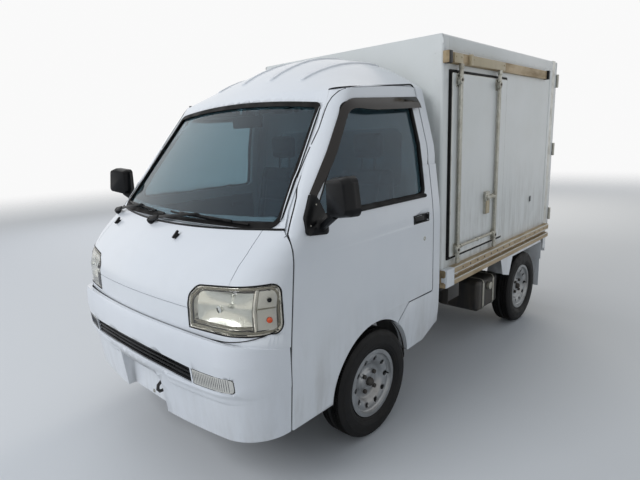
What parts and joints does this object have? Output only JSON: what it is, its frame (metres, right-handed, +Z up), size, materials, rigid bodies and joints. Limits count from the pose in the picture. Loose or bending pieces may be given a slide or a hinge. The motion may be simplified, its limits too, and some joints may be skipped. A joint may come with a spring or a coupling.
{
  "type": "kei truck with insulated box body",
  "caption": "Small cab-over truck with a high-roof cab, opening doors, steered front wheels and an insulated box body with rear doors.",
  "frame": {"origin": "on the ground under the middle of the truck's length and width", "axes": "+Z up, nose points along -Y, the truck's left side is +X"},
  "size_m": [1.9312, 3.3639, 1.964],
  "materials": {
    "body_paint": "gloss",
    "bumper_paint": "gloss",
    "black_plastic": "satin",
    "rubber_seal": "matte",
    "clear_glass": "clear",
    "lamp_glass": "clear",
    "lamp_shell": "gloss",
    "tail_lamp_glass": "gloss",
    "grey_plastic": "satin",
    "seat_fabric": "matte",
    "black_steel": "satin",
    "cast_metal": "rough",
    "spring_steel": "dull",
    "exhaust_steel": "dull",
    "box_panel": "gloss",
    "box_trim": "satin",
    "rail_metal": "dull",
    "galvanised": "satin",
    "wheel_steel": "satin",
    "tyre_rubber": "matte"
  },
  "bodies": {
    "root": {"cab_frame": "body_paint", "front_panel": "body_paint", "front_lid": "body_paint", "roof_panel": "body_paint", "rear_panel": "body_paint", "rear_window": "clear_glass", "windscreen": "clear_glass", "windscreen_seal": "rubber_seal", "wipers": "black_plastic", "bumper": "bumper_paint", "grille": "black_plastic", "front_lamps": "lamp_shell", "headlamp_lenses": "lamp_glass", "cab_floor": "black_steel", "dashboard": "grey_plastic", "steering_column": "black_plastic", "seats": "seat_fabric", "chassis_rails": "black_steel", "cross_members": "black_steel", "front_subframe": "black_steel", "rear_axle": "black_steel", "leaf_springs": "spring_steel", "engine": "cast_metal", "propeller_shaft": "spring_steel", "exhaust": "exhaust_steel", "fuel_tank": "black_steel", "box_floor": "galvanised", "box_front": "box_panel", "box_sides": "box_panel", "box_roof": "box_panel", "rear_frame": "box_trim", "side_door": "box_panel", "side_door_seal": "rubber_seal", "side_door_bars": "galvanised", "box_rails": "rail_metal", "rear_fenders": "body_paint", "rear_apron": "body_paint", "tail_lamps": "tail_lamp_glass"},
    "door_left": {"door_left": "body_paint", "door_glass_left": "clear_glass", "mirror_left": "black_plastic"},
    "door_right": {"door_right": "body_paint", "door_glass_right": "clear_glass", "mirror_right": "black_plastic"},
    "rear_door_left": {"rear_door_left": "box_panel"},
    "rear_door_right": {"rear_door_right": "box_panel"},
    "steering_wheel": {"steering_wheel": "black_plastic"},
    "knuckle_left": {"knuckle_left": "cast_metal"},
    "knuckle_right": {"knuckle_right": "cast_metal"},
    "wheel_front_left": {"tyre_front_left": "tyre_rubber", "rim_front_left": "wheel_steel"},
    "wheel_front_right": {"tyre_front_right": "tyre_rubber", "rim_front_right": "wheel_steel"},
    "wheel_rear_left": {"tyre_rear_left": "tyre_rubber", "rim_rear_left": "wheel_steel"},
    "wheel_rear_right": {"tyre_rear_right": "tyre_rubber", "rim_rear_right": "wheel_steel"}
  },
  "joints": [
    {"name": "door_left_hinge", "type": "hinge", "parent": "root", "child": "door_left", "pos_m": [0.74, -1.384, 0.8], "axis": [0, 0, -1], "range_deg": [0, 65]},
    {"name": "door_right_hinge", "type": "hinge", "parent": "root", "child": "door_right", "pos_m": [-0.74, -1.384, 0.8], "axis": [0, 0, 1], "range_deg": [0, 65]},
    {"name": "rear_door_left_hinge", "type": "hinge", "parent": "root", "child": "rear_door_left", "pos_m": [0.705, 1.662, 1.2], "axis": [0, 0, -1], "range_deg": [0, 250]},
    {"name": "rear_door_right_hinge", "type": "hinge", "parent": "root", "child": "rear_door_right", "pos_m": [-0.705, 1.662, 1.2], "axis": [0, 0, 1], "range_deg": [0, 250]},
    {"name": "steering", "type": "hinge", "parent": "root", "child": "steering_wheel", "pos_m": [-0.34, -1.085, 1], "axis": [0, 0.6157, 0.788], "range_deg": [-510, 510]},
    {"name": "kingpin_left", "type": "hinge", "parent": "root", "child": "knuckle_left", "pos_m": [0.6, -0.82, 0.17], "axis": [-0.2044, 0, 0.9789], "range_deg": [-34, 34]},
    {"name": "kingpin_right", "type": "hinge", "parent": "root", "child": "knuckle_right", "pos_m": [-0.6, -0.82, 0.17], "axis": [0.2044, 0, 0.9789], "range_deg": [-34, 34]},
    {"name": "wheel_front_left_spin", "type": "hinge", "parent": "knuckle_left", "child": "wheel_front_left", "pos_m": [0.6525, -0.82, 0.271], "axis": [1, 0, 0], "continuous": true},
    {"name": "wheel_front_right_spin", "type": "hinge", "parent": "knuckle_right", "child": "wheel_front_right", "pos_m": [-0.6525, -0.82, 0.271], "axis": [1, 0, 0], "continuous": true},
    {"name": "wheel_rear_left_spin", "type": "hinge", "parent": "root", "child": "wheel_rear_left", "pos_m": [0.6525, 1.08, 0.271], "axis": [1, 0, 0], "continuous": true},
    {"name": "wheel_rear_right_spin", "type": "hinge", "parent": "root", "child": "wheel_rear_right", "pos_m": [-0.6525, 1.08, 0.271], "axis": [1, 0, 0], "continuous": true}
  ],
  "couplings": [
    {"joint": "kingpin_left", "follows": "steering", "ratio": 0.064706},
    {"joint": "kingpin_right", "follows": "steering", "ratio": 0.064706}
  ]
}
